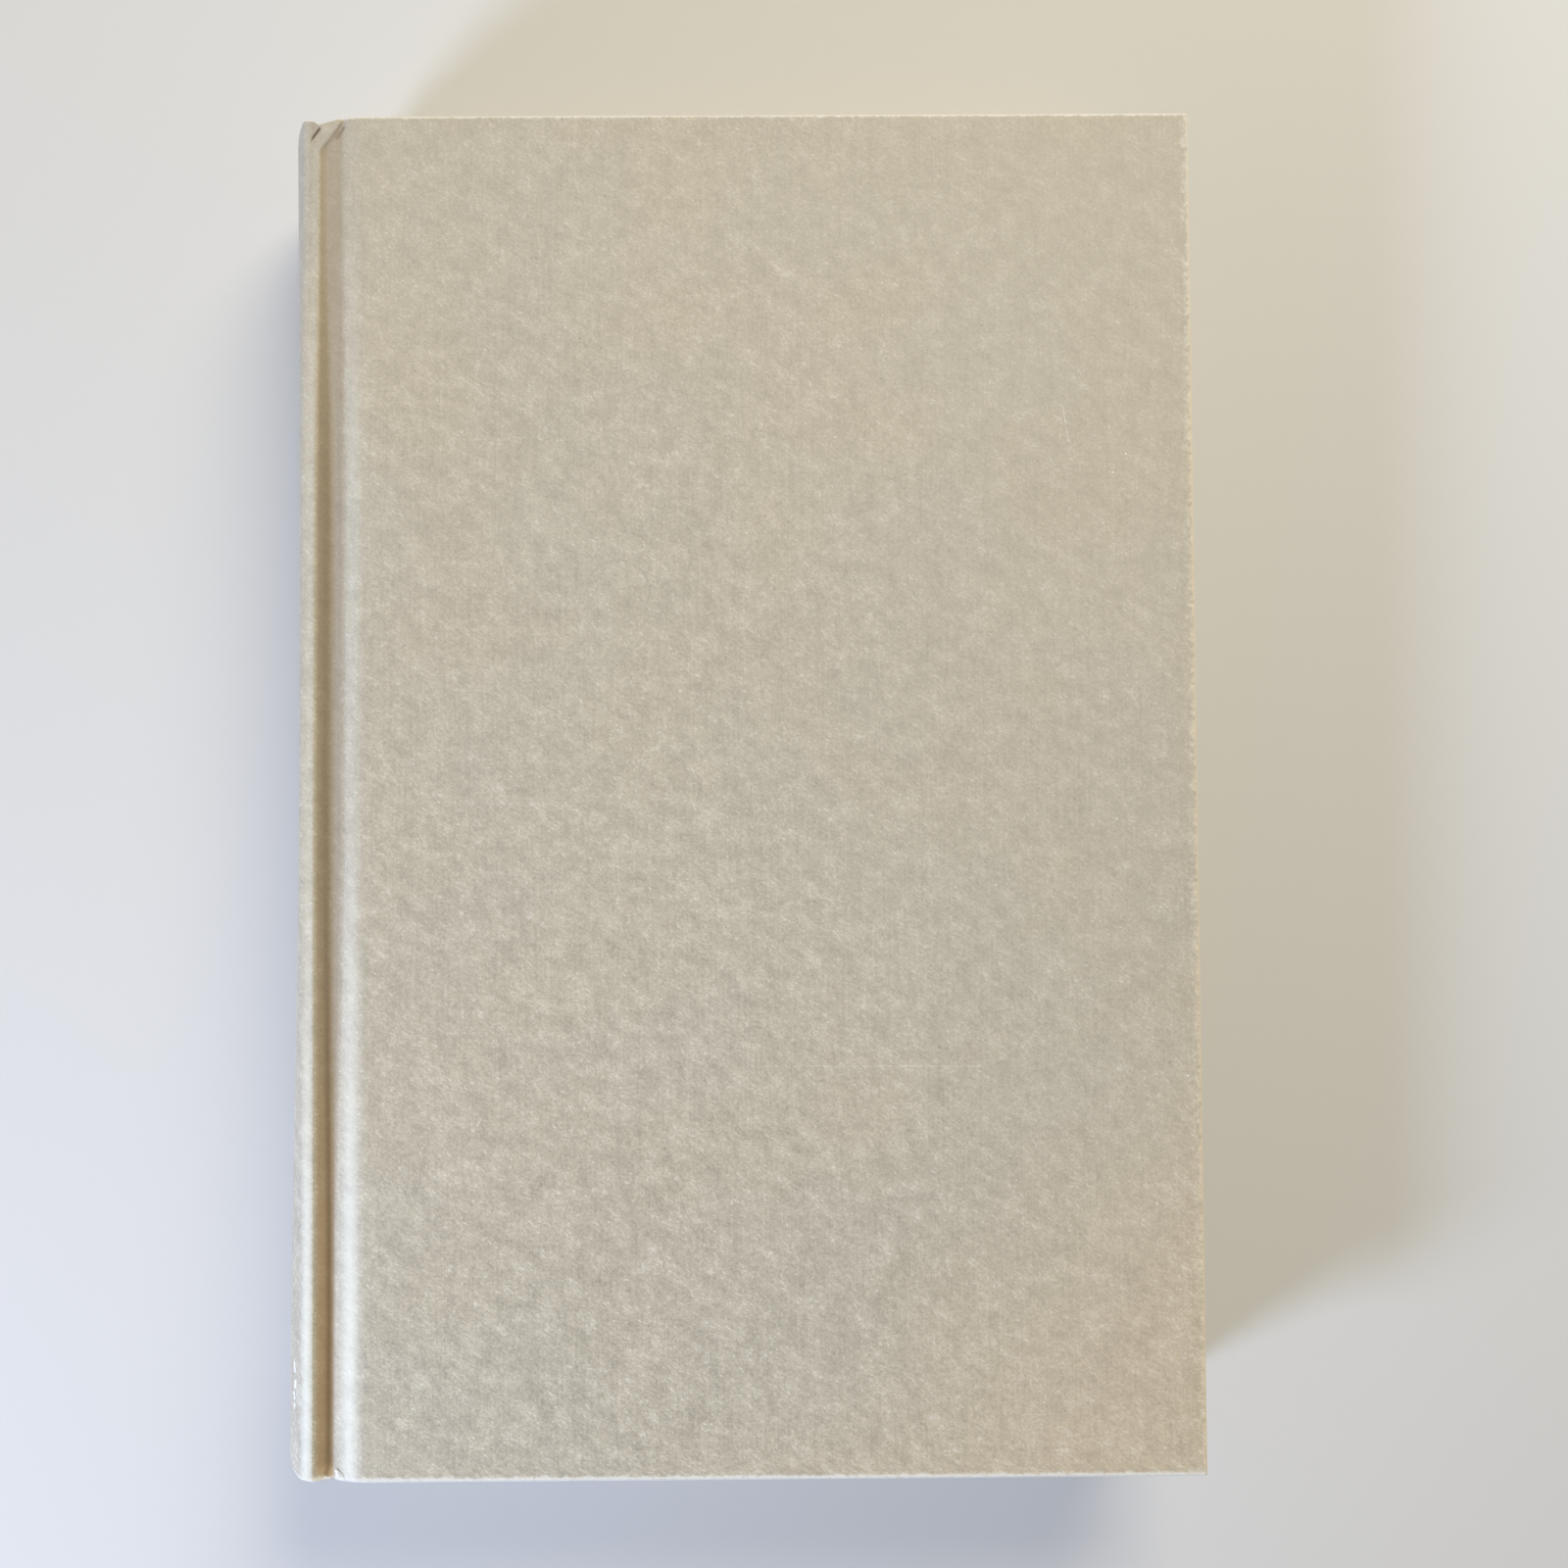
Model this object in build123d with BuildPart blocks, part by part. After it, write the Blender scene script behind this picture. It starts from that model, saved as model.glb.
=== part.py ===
from build123d import *
import math
import os

# Hardback book, case bound, lying on its back cover.
# Millimetres. X runs from the spine to the fore-edge, Y from the tail to the head, Z up.
# The origin is under the middle of the book, on the surface that it lies on.

# Boards
board_width = 150.8
board_height = 241.3
board_thickness = 2.5
board_edge_round = 0.25
end_round_share = 0.8

# Covering paper, one sheet round both boards and the spine
paper_thickness = 0.25
turn_in = 15.0

# Leaves, set back from the boards' edges by the squares
pages_thickness = 23.2
end_square = 3.15
fore_edge_square = 3.2
fore_edge_hollow = 2.3
endpaper_thickness = 0.2

# Rounded and backed spine of the leaves
back_radius = 22.4
shoulder_height = 2.5
shoulder_round = 0.5
nook_round = 0.8
gathering_count = 14
fold_notch_depth = 0.5
fold_notch_width = 0.4

# Cloth, lining and bands on the back of the leaves
super_thickness = 0.25
super_end_gap = 1.65
super_flange = 25.0
lining_thickness = 0.35
lining_inset = 0.5
lining_side_gap = 2.0
band_bead_radius = 1.0
band_tape_length = 11.5
band_side_gap = 1.6

# Card in the spine of the case
inlay_thickness = 0.7
inlay_edge_drop = 1.12
hollow_gap = 0.4

# French joint between shoulder and board
joint_width = 5.3
ridge_drop = 0.3
ridge_round_share = 0.95
crest_round = 1.0
joint_wall_angle = 57.0
joint_ramp_angle = 28.5
joint_floor_round = 1.2
ramp_round = 8.0
joint_clearance = 0.1

# Named overrun for cuts
overrun = 1.0


# Levels above the middle of the book's thickness
leaves_level = pages_thickness / 2
flyleaf_level = leaves_level + endpaper_thickness
pastedown_level = flyleaf_level + endpaper_thickness
board_inner_level = pastedown_level + paper_thickness
board_outer_level = board_inner_level + board_thickness
case_level = board_outer_level + paper_thickness
tip_level = leaves_level + shoulder_height
ridge_level = case_level - ridge_drop

# Radii of the spine's layers, all round one centre line
super_radius = back_radius + super_thickness
lining_radius = super_radius + lining_thickness
inlay_inner_radius = lining_radius + hollow_gap
inlay_outer_radius = inlay_inner_radius + inlay_thickness
case_radius = inlay_outer_radius + paper_thickness

# How far round the spine each layer reaches, in degrees on either side of its middle
tip_angle = math.degrees(math.asin(tip_level / back_radius))
lining_angle = tip_angle - math.degrees(lining_side_gap / lining_radius)
band_angle = tip_angle - math.degrees(band_side_gap / super_radius)
inlay_angle = math.degrees(math.asin((ridge_level - inlay_edge_drop) / case_radius))
inlay_fold_angle = inlay_angle + math.degrees(paper_thickness / inlay_outer_radius)

# Places across the book
tip_depth = case_radius - math.sqrt(back_radius**2 - tip_level**2)
overall_width = tip_depth + joint_width + board_width + paper_thickness
spine_x = -overall_width / 2
arc_x = spine_x + case_radius
tip_x = spine_x + tip_depth
board_x = tip_x + joint_width
fore_x = board_x + board_width
leaf_fore_x = fore_x - fore_edge_square
flange_end_x = board_x + super_flange

# Places along the book
board_end = board_height / 2
paper_end = board_end + paper_thickness
turn_in_end = board_end - turn_in
leaf_end = board_end - end_square
super_end = turn_in_end - super_end_gap

# The joint's wall runs beside the shoulder, outside the flyleaf, the cloth and the paper itself
wall_slope = math.tan(math.radians(joint_wall_angle))
wall_offset = endpaper_thickness + super_thickness + paper_thickness + joint_clearance
wall_x = tip_x + wall_offset * math.sin(math.radians(joint_wall_angle))
wall_level = tip_level + wall_offset * math.cos(math.radians(joint_wall_angle))
nook_x = tip_x + shoulder_height / wall_slope

# The joint's floor clears the flange of the cloth, and its ramp climbs to the top of the board
joint_turn = math.radians((joint_wall_angle + joint_ramp_angle) / 2)
joint_lean = math.radians((joint_wall_angle - joint_ramp_angle) / 2)
floor_rise = joint_floor_round * (math.cos(joint_lean) / math.cos(joint_turn) - 1)
joint_floor_level = pastedown_level + super_thickness + joint_clearance + paper_thickness
joint_corner_level = joint_floor_level - floor_rise
joint_drop = case_level - joint_corner_level
wall_corner_x = wall_x + (wall_level - ridge_level) / wall_slope
joint_corner_x = wall_x + (wall_level - joint_corner_level) / wall_slope
ramp_corner_x = joint_corner_x + joint_drop / math.tan(math.radians(joint_ramp_angle))

# The cover turns about a line above the lowest part of the joint
hinge_x = joint_corner_x + joint_floor_round * math.sin(joint_lean) / math.cos(joint_turn)

# The section plane looks along the spine, with its centre in the middle of the thickness
middle = Plane.XY.offset(case_level)
section = Plane((0, 0, case_level), x_dir=(1, 0, 0), z_dir=(0, -1, 0))
spine_axis = Axis((arc_x, 0, case_level), (0, 1, 0))


def spine_band(inner_radius, outer_radius, half_angle):
    """A strip of the spine's round section, for use inside a sketch on the section plane."""
    with BuildLine() as band:
        outer = CenterArc((arc_x, 0), outer_radius, 180 - half_angle, 2 * half_angle)
        inner = CenterArc((arc_x, 0), inner_radius, 180 - half_angle, 2 * half_angle)
        Line(outer @ 0, inner @ 0)
        Line(outer @ 1, inner @ 1)
    make_face(band.edges())


def window(low_x, high_x, low_level, high_level, mode=Mode.ADD):
    """A rectangle of the section between two places and two levels."""
    with Locations(((low_x + high_x) / 2, (low_level + high_level) / 2)):
        Rectangle(high_x - low_x, high_level - low_level, mode=mode)


def box_between(low, high, mode=Mode.ADD):
    """A box between two opposite corners, for use inside a part."""
    centre = tuple((a + b) / 2 for a, b in zip(low, high))
    with Locations(centre):
        Box(*[b - a for a, b in zip(low, high)], mode=mode)


# Outline of the closed case
with BuildSketch(section) as case_outline:
    with BuildLine():
        round_back = CenterArc((arc_x, 0), case_radius, 180 - inlay_angle, 2 * inlay_angle)
        start = round_back @ 0
        rise = ridge_level - start.Y
        ridge_x = start.X + rise * math.tan(math.radians(inlay_angle))
        ridge_reach = rise / math.cos(math.radians(inlay_angle))
        ridge_turn = math.radians((90 - inlay_angle) / 2)
        ridge_round = ridge_round_share * ridge_reach / math.tan(ridge_turn)
        corners = [
            (ridge_x, ridge_level),
            (wall_corner_x, ridge_level),
            (joint_corner_x, joint_corner_level),
            (ramp_corner_x, case_level),
            (fore_x + paper_thickness, case_level),
        ]
        rounds = [ridge_round, crest_round, joint_floor_round, ramp_round]
        upper = FilletPolyline(start, *corners, radius=rounds)
        below = [(x, -level) for x, level in corners]
        lower = FilletPolyline(round_back @ 1, *below, radius=rounds)
        Line(upper @ 1, lower @ 1)
    make_face()

# The same outline one and two sheets further in
with BuildSketch(section) as under_paper:
    add(case_outline.sketch_local)
    offset(amount=-paper_thickness)

with BuildSketch(section) as under_turn_in:
    add(case_outline.sketch_local)
    offset(amount=-2 * paper_thickness)

# Outline of the leaves, rounded at the spine and hollow at the fore-edge
with BuildSketch(section) as leaf_outline:
    with BuildLine():
        back = CenterArc((arc_x, 0), back_radius, 180 - tip_angle, 2 * tip_angle)
        fore_top = (leaf_fore_x, leaves_level)
        fore_bottom = (leaf_fore_x, -leaves_level)
        Polyline(back @ 0, (nook_x, leaves_level), fore_top)
        ThreePointArc(fore_top, (leaf_fore_x - fore_edge_hollow, 0), fore_bottom)
        Polyline(fore_bottom, (nook_x, -leaves_level), back @ 1)
    make_face()
    by_x = leaf_outline.vertices().group_by(Axis.X)
    fillet(by_x[0], radius=shoulder_round)
    fillet(leaf_outline.vertices().filter_by_position(Axis.X, nook_x, nook_x), radius=nook_round)

# One sheet further out lie the flyleaves
with BuildSketch(section) as flyleaf_outline:
    add(leaf_outline.sketch_local)
    offset(amount=endpaper_thickness)
    add(leaf_outline.sketch_local, mode=Mode.SUBTRACT)
    window(tip_x, leaf_fore_x, -case_level, case_level, mode=Mode.INTERSECT)
    window(tip_x, leaf_fore_x, -leaves_level, leaves_level, mode=Mode.SUBTRACT)

# Leaves, with a notch between each two gatherings
fold_step = 2 * tip_angle / gathering_count
fold_angles = [180 - tip_angle + fold_step * (i + 1) for i in range(gathering_count - 1)]
notch_side = math.hypot(fold_notch_depth, fold_notch_width / 2)
with BuildPart() as text_block:
    with BuildSketch(section):
        add(leaf_outline.sketch_local)
        for angle in fold_angles:
            with Locations(Location((arc_x, 0), angle) * Location((back_radius, 0))):
                Triangle(
                    a=fold_notch_width,
                    b=notch_side,
                    c=notch_side,
                    rotation=90,
                    align=(Align.CENTER, Align.MIN),
                    mode=Mode.SUBTRACT,
                )
    extrude(amount=leaf_end, both=True)

# Flyleaves, glued along the back and bent up over the shoulders
with BuildPart() as front_flyleaf:
    with BuildSketch(section):
        add(flyleaf_outline.sketch_local)
        window(tip_x, leaf_fore_x, 0, case_level, mode=Mode.INTERSECT)
    extrude(amount=leaf_end, both=True)

with BuildPart() as back_flyleaf:
    mirror(front_flyleaf.part, about=middle)

# Super: open cloth round the back of the leaves, over the shoulders and down into both joints
with BuildPart() as spine_super:
    with BuildSketch(section):
        add(leaf_outline.sketch_local)
        add(flyleaf_outline.sketch_local)
        offset(amount=super_thickness)
        add(leaf_outline.sketch_local, mode=Mode.SUBTRACT)
        add(flyleaf_outline.sketch_local, mode=Mode.SUBTRACT)
        window(spine_x, hinge_x, -case_level, case_level, mode=Mode.INTERSECT)
    extrude(amount=super_end, both=True)

# Paper lining over the cloth and the tapes of the bands
with BuildPart() as spine_lining:
    with BuildSketch(section):
        spine_band(super_radius, lining_radius, lining_angle)
    extrude(amount=leaf_end - lining_inset, both=True)

# Head band and tail band: a tape on the back of the leaves, and a bead with a flat foot that stands on their edge
band_start = math.radians(band_angle)
band_plane = Plane(
    spine_axis.position,
    x_dir=(-math.cos(band_start), 0, -math.sin(band_start)),
    z_dir=(math.sin(band_start), 0, -math.cos(band_start)),
)
with BuildPart() as head_band:
    with BuildSketch(band_plane):
        with Locations((super_radius - band_bead_radius, leaf_end + band_bead_radius)):
            Circle(band_bead_radius)
            Rectangle(2 * band_bead_radius, band_bead_radius, align=(Align.CENTER, Align.MAX))
        with Locations((back_radius, leaf_end - band_tape_length)):
            Rectangle(super_thickness, band_tape_length + band_bead_radius, align=Align.MIN)
    revolve(axis=spine_axis, revolution_arc=2 * band_angle)

with BuildPart() as tail_band:
    mirror(head_band.part, about=Plane.XZ)

# Card strip that keeps the spine of the case round
with BuildPart() as spine_inlay:
    with BuildSketch(section):
        spine_band(inlay_inner_radius, inlay_outer_radius, inlay_angle)
    extrude(amount=board_end, both=True)

# Covering paper round the spine, as far as both hinge lines, turned in at head and tail
with BuildPart() as spine_cover_paper:
    with BuildSketch(section):
        add(case_outline.sketch_local)
        add(under_turn_in.sketch_local, mode=Mode.SUBTRACT)
        spine_band(inlay_inner_radius - paper_thickness, inlay_outer_radius, inlay_fold_angle)
        window(spine_x, hinge_x, -case_level, case_level, mode=Mode.INTERSECT)
    extrude(amount=paper_end, both=True)
    with BuildSketch(section):
        spine_band(inlay_inner_radius, inlay_outer_radius, inlay_angle)
    extrude(amount=board_end, both=True, mode=Mode.SUBTRACT)
    with BuildSketch(section):
        add(under_paper.sketch_local)
        window(spine_x, hinge_x + overrun, -case_level, case_level, mode=Mode.INTERSECT)
    extrude(amount=turn_in_end, both=True, mode=Mode.SUBTRACT)

# Board, with its upper corner pressed down along the joint
with BuildPart() as front_board:
    with BuildSketch(section):
        add(under_paper.sketch_local)
        window(board_x, fore_x, board_inner_level, case_level, mode=Mode.INTERSECT)
    extrude(amount=board_end, both=True)
    long_edges = front_board.edges().filter_by(Axis.Y).group_by(Axis.X)
    fillet(long_edges[-1] + long_edges[0], radius=board_edge_round)
    end_faces = front_board.faces().filter_by(Axis.Y)
    fillet(end_faces.edges(), radius=board_edge_round * end_round_share)

with BuildPart() as back_board:
    mirror(front_board.part, about=middle)

# Covering paper round the board, turned in over three of its edges
with BuildPart() as front_cover_paper:
    with BuildSketch(section):
        add(case_outline.sketch_local)
        window(
            board_x - paper_thickness,
            fore_x + paper_thickness,
            board_inner_level - paper_thickness,
            case_level,
            mode=Mode.INTERSECT,
        )
    extrude(amount=paper_end, both=True)
    long_edges = front_cover_paper.edges().filter_by(Axis.Y).group_by(Axis.X)
    fold_round = board_edge_round + paper_thickness
    fillet(long_edges[-1], radius=fold_round)
    end_edges = front_cover_paper.faces().filter_by(Axis.Y).edges().group_by(Axis.X)[1:]
    fillet([edge for group in end_edges for edge in group], radius=fold_round * end_round_share)
    with BuildSketch(section):
        add(case_outline.sketch_local)
        add(under_turn_in.sketch_local, mode=Mode.SUBTRACT)
        window(hinge_x, board_x - paper_thickness, 0, case_level, mode=Mode.INTERSECT)
    extrude(amount=paper_end, both=True)
    add(front_board.part, mode=Mode.SUBTRACT)
    with BuildSketch(section):
        add(under_paper.sketch_local)
        window(hinge_x - overrun, board_x + board_edge_round, 0, case_level, mode=Mode.INTERSECT)
    extrude(amount=turn_in_end, both=True, mode=Mode.SUBTRACT)
    box_between(
        (board_x - overrun, -turn_in_end, case_level),
        (fore_x - turn_in, turn_in_end, case_level + board_inner_level),
        mode=Mode.SUBTRACT,
    )

with BuildPart() as back_cover_paper:
    mirror(front_cover_paper.part, about=middle)

# Flange of the super, pasted to the board's inner face
with BuildPart() as front_super_flange:
    box_between(
        (hinge_x, -super_end, case_level + pastedown_level),
        (flange_end_x, super_end, case_level + pastedown_level + super_thickness),
    )

with BuildPart() as back_super_flange:
    mirror(front_super_flange.part, about=middle)

# Pastedown: lies over the turned-in paper and the flange, and steps down onto the bare board between them
step_low = (flange_end_x, -turn_in_end, case_level + flyleaf_level)
step_high = (fore_x - turn_in, turn_in_end, case_level + board_inner_level)
with BuildPart() as front_pastedown:
    box_between(
        (hinge_x, -leaf_end, case_level + flyleaf_level),
        (leaf_fore_x, leaf_end, case_level + pastedown_level),
    )
    box_between(step_low, step_high)
    box_between(
        (step_low[0] + endpaper_thickness, step_low[1] + endpaper_thickness, step_low[2] - overrun),
        tuple(side - endpaper_thickness for side in step_high),
        mode=Mode.SUBTRACT,
    )

with BuildPart() as back_pastedown:
    mirror(front_pastedown.part, about=middle)

pieces = {
    "text_block": text_block,
    "front_flyleaf": front_flyleaf,
    "back_flyleaf": back_flyleaf,
    "spine_super": spine_super,
    "spine_lining": spine_lining,
    "head_band": head_band,
    "tail_band": tail_band,
    "spine_inlay": spine_inlay,
    "spine_cover_paper": spine_cover_paper,
    "front_board": front_board,
    "front_cover_paper": front_cover_paper,
    "front_pastedown": front_pastedown,
    "front_super_flange": front_super_flange,
    "back_board": back_board,
    "back_cover_paper": back_cover_paper,
    "back_pastedown": back_pastedown,
    "back_super_flange": back_super_flange,
}
os.makedirs("parts", exist_ok=True)
for name, piece in pieces.items():
    piece.part.label = name
    export_step(piece.part, f"parts/{name}.step")

print(f"hinges at x {hinge_x:.4f}, shoulder at {tip_x:.4f}, board at {board_x:.4f}")
print(f"width {overall_width:.3f}, height {2 * paper_end:.3f}, thickness {2 * case_level:.3f}")
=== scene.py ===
import math

import bmesh
import bpy
import numpy as np
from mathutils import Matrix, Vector, noise


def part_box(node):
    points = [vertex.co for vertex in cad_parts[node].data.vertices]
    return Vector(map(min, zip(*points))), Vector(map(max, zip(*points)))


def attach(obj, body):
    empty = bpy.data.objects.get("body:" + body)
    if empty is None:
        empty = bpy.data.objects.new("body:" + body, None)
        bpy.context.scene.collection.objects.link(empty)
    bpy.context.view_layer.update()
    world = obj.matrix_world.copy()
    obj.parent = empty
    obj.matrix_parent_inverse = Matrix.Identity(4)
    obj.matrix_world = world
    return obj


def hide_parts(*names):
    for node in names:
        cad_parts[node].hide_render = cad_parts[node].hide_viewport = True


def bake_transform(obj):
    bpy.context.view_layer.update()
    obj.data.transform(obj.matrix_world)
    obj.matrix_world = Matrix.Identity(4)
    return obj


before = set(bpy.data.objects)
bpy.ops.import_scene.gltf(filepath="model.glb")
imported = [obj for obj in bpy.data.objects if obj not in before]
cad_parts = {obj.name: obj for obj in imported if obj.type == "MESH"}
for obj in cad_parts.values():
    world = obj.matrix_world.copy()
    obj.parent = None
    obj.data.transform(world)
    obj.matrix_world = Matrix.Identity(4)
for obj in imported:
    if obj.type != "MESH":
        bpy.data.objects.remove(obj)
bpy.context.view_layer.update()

# Lengths are in millimetres until makeObject turns them into metres.
# A level is a height above the middle of the closed book's thickness.
mm = 0.001


def cadRange(node):
    low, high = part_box(node)
    return np.array(low) / mm, np.array(high) / mm


boardLow, boardHigh = cadRange("front_board")
leavesHigh = cadRange("text_block")[1]
spineLow = cadRange("spine_cover_paper")[0]
halfThickness = cadRange("front_cover_paper")[1][2] / 2

# Sizes of the closed book; those of the boards and leaves come from the CAD model.
book = {
    "paper": 0.25,
    "endpaper": 0.2,
    "cloth": 0.25,
    "caseRadius": 24.35,
    "backRadius": 22.4,
    "arcEndLevel": 12.6,
    "cardThickness": 0.55,
    "turnIn": 15.0,
    "leavesLevel": 11.6,
    "shoulder": 1.8,
    "wallAngle": 57.0,
    "hollow": 2.3,
    "clothFlange": 25.0,
    "clothEndGap": 1.65,
}
boardX, foreX = boardLow[0], boardHigh[0]
boardEnd = boardHigh[1]
boardInner = boardLow[2] - halfThickness
leafEnd = leavesHigh[1]
leafForeX = leavesHigh[0]
arcX = spineLow[0] + book["caseRadius"]
tipLevel = book["leavesLevel"] + book["shoulder"]
tipAngle = math.asin(tipLevel / book["backRadius"])
tipX = arcX - book["backRadius"] * math.cos(tipAngle)
wallRun = book["shoulder"] / math.tan(math.radians(book["wallAngle"]))
turnInEnd = boardEnd - book["turnIn"]


def smooth(low, high, value):
    share = np.clip((np.asarray(value, float) - low) / (high - low), 0, 1)
    return share * share * (3 - 2 * share)


def spread(low, high, count):
    return np.linspace(low, high, count)


def runOf(path):
    # How far along the path each of its points lies.
    return np.concatenate([[0], np.cumsum(np.linalg.norm(np.diff(path, axis=0), axis=1))])


# Helpers for meshes

sharpAngle = 40


def gridFaces(rows, columns, flip=False):
    faces = []
    for i in range(rows - 1):
        for j in range(columns - 1):
            a = i * columns + j
            quad = (a, a + 1, a + columns + 1, a + columns)
            faces.append(quad[::-1] if flip else quad)
    return faces


def makeObject(name, points, faces, fields=None, weld=0.0, sharp=sharpAngle):
    mesh = bpy.data.meshes.new(name)
    mesh.from_pydata((np.asarray(points) * mm).tolist(), [], faces)
    for field, values in (fields or {}).items():
        values = np.asarray(values, np.float32)
        if values.ndim == 2:
            layer = mesh.attributes.new(field, "FLOAT_VECTOR", "POINT")
            layer.data.foreach_set("vector", values.ravel())
        else:
            layer = mesh.attributes.new(field, "FLOAT", "POINT")
            layer.data.foreach_set("value", values)
    if weld:
        work = bmesh.new()
        work.from_mesh(mesh)
        bmesh.ops.remove_doubles(work, verts=work.verts, dist=weld * mm)
        work.to_mesh(mesh)
        work.free()
    mesh.shade_smooth()
    mesh.set_sharp_from_angle(angle=math.radians(sharp))
    made = bpy.data.objects.new(name, mesh)
    bpy.context.scene.collection.objects.link(made)
    return made


def thicken(piece, thickness, outward=False):
    # Gives a sheet its thickness, on the inside unless outward.
    modifier = piece.modifiers.new("thickness", "SOLIDIFY")
    modifier.thickness = thickness * mm
    modifier.offset = 1 if outward else -1
    bpy.context.view_layer.objects.active = piece
    piece.select_set(True)
    bpy.ops.object.modifier_apply(modifier=modifier.name)
    piece.select_set(False)
    piece.data.set_sharp_from_angle(angle=math.radians(sharpAngle))
    return piece


# the largest share of a straight that a corner's round takes
longestCut = 0.48


def rounded(corners, cuts, straights, turns):
    # A line through corners, each one rounded over its cut length. The number of points is always the same.
    corners = [np.array(c, float) for c in corners]
    points = []
    here = corners[0]
    for i in range(1, len(corners) - 1):
        before, corner, after = corners[i - 1], corners[i], corners[i + 1]
        inRun, outRun = corner - before, after - corner
        room = min(np.linalg.norm(inRun), np.linalg.norm(outRun)) * longestCut
        cut = min(cuts[i - 1], room)
        start = corner - inRun / np.linalg.norm(inRun) * cut
        stop = corner + outRun / np.linalg.norm(outRun) * cut
        for t in np.arange(straights[i - 1]) / straights[i - 1]:
            points.append(here + (start - here) * t)
        for t in np.arange(turns[i - 1]) / turns[i - 1]:
            points.append(start * (1 - t) ** 2 + corner * 2 * t * (1 - t) + stop * t * t)
        here = stop
    for t in np.arange(straights[-1] + 1) / straights[-1]:
        points.append(here + (corners[-1] - here) * t)
    return np.array(points)


def normalsOf(path):
    # Unit vectors out of the book, for a path over the top from the spine to the fore-edge.
    along = np.gradient(path, axis=0)
    along /= np.linalg.norm(along, axis=1)[:, None]
    return np.stack([-along[:, 1], along[:, 0]], 1)


print("helpers ready")

# Covering paper

joint = {
    # places across the joint, from the board's edge, and how deep each lies
    "shape": {
        "middle": [(-5.50, 0.30), (-4.35, 2.35), (-2.25, 2.15), (-1.2, 1.35), (2.4, 0.0)],
        "tail": [(-5.35, 0.28), (-3.5, 2.35), (-2.5, 2.30), (-1.75, 1.35), (2.6, 0.0)],
        "head": [(-5.05, 0.30), (-3.95, 1.05), (-2.2, 1.00), (-0.5, 0.65), (2.3, 0.0)],
    },
    "closed": [(-1.2, 0.30), (-0.75, 0.75), (-0.55, 0.75), (-0.1, 0.32), (2.0, 0.0)],
    # how far each corner is cut for its round, and the points on the straights and the rounds
    "cuts": {
        "middle": [1.28, 0.45, 0.7, 0.5, 0.9, 1.3],
        "tail": [1.28, 0.25, 0.45, 0.3, 0.35, 1.3],
        "head": [1.28, 0.45, 0.7, 0.5, 0.9, 1.3],
    },
    "straights": [4, 6, 6, 4, 4, 6, 46],
    "turns": [8, 8, 8, 5, 5, 8],
    # where the joint changes, in places along the book
    "closing": (115.6, 120.4),
    "deepening": (-10.0, 95.0),
    "shallowing": (40.0, 110.0),
    "tailLift": 1.3,
    "liftRun": (-2.2, 0.25),
    "shoulderDrop": 0.62,
    # how deep the dirt and painted shade in the joint start and are full, where they end toward the board,
    # and their strength away from the tail and at it
    "soilShadeDepth": {"middle": (0.6, 1.2), "tail": (0.6, 1.2), "head": (0.35, 0.7)},
    "soilShadeEnd": {"middle": (-1.35, 0.15), "tail": (-2.5, -1.5), "head": (-1.4, -0.1)},
    "soilShadeStrength": (0.74, 1.0),
    "cleanRidgePoints": 12,
    # the dark line of painted shade in the joint's dirt, and the light pressed bands beside it, burnished
    # paper with painted highlight: place, half width
    "line": {"middle": (-4.2, 0.60), "tail": (-3.2, 0.50), "head": (-4.2, 0.60)},
    "lineFade": 0.85,
    "burnishAndHighlight": [(-6.45, 0.95), (1.05, 1.7)],
    "paleStrength": (0.25, 1.0),
    "paleEnding": (60, 118),
    "paleBackPoints": 4,
    "soilShadeOverHighlight": 1.5,
    # places across the hinge from the board's edge, for the sheets that cross it; they are worked out but not
    # used
    "bend": (-5.4, 0.6),
}

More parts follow.
